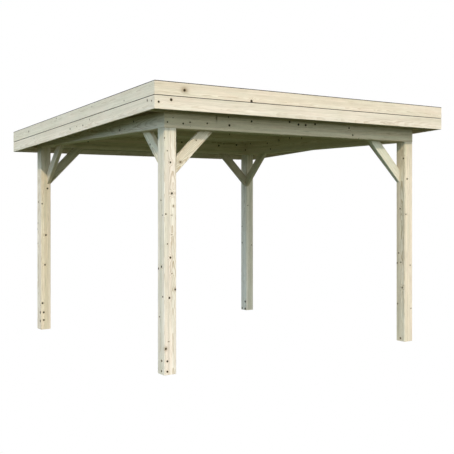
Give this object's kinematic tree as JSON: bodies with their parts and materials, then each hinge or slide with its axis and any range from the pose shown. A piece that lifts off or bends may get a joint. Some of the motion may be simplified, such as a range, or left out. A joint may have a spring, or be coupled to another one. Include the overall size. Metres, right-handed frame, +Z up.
{
  "type": "garden pergola",
  "caption": "Square open timber pergola on four posts, with knee braces under level beams and a flat board roof that falls to the back behind a double fascia.",
  "frame": {"origin": "on the ground under the middle of the roof", "axes": "+Z up, -Y the high front side of the roof, +Y the low back side, +X to the right seen from the front"},
  "size_m": [3.5, 3.5, 2.5203],
  "materials": {
    "planed_timber": "planed untreated spruce",
    "roof_timber": "planed untreated spruce",
    "roof_boards": "planed tongue-and-groove spruce",
    "fascia_boards": "planed untreated spruce",
    "roofing": "matt rubber roofing sheet",
    "edge_trim": "black hard plastic angle"
  },
  "bodies": {
    "root": {"post_front_left": "planed_timber", "post_front_right": "planed_timber", "post_back_left": "planed_timber", "post_back_right": "planed_timber", "beam_front": "planed_timber", "beam_back": "planed_timber", "beam_left": "planed_timber", "beam_right": "planed_timber", "brace_front_left": "planed_timber", "brace_front_right": "planed_timber", "brace_back_left": "planed_timber", "brace_back_right": "planed_timber", "brace_left_front": "planed_timber", "brace_left_back": "planed_timber", "brace_right_front": "planed_timber", "brace_right_back": "planed_timber", "purlin_front": "roof_timber", "purlin_front_middle": "roof_timber", "purlin_middle": "roof_timber", "purlin_back_middle": "roof_timber", "purlin_back": "roof_timber", "filler_blocks_left": "roof_timber", "filler_blocks_right": "roof_timber", "edge_joist_front": "roof_timber", "edge_joist_back": "roof_timber", "edge_joist_left": "roof_timber", "edge_joist_right": "roof_timber", "roof_boards_odd": "roof_boards", "roof_boards_even": "roof_boards", "roofing_sheet": "roofing", "fascia_front_upper": "fascia_boards", "fascia_front_lower": "fascia_boards", "fascia_back_upper": "fascia_boards", "fascia_back_lower": "fascia_boards", "fascia_left_upper": "fascia_boards", "fascia_left_lower": "fascia_boards", "fascia_right_upper": "fascia_boards", "fascia_right_lower": "fascia_boards", "edge_trim_front": "edge_trim", "edge_trim_left": "edge_trim", "edge_trim_right": "edge_trim"}
  },
  "joints": []
}
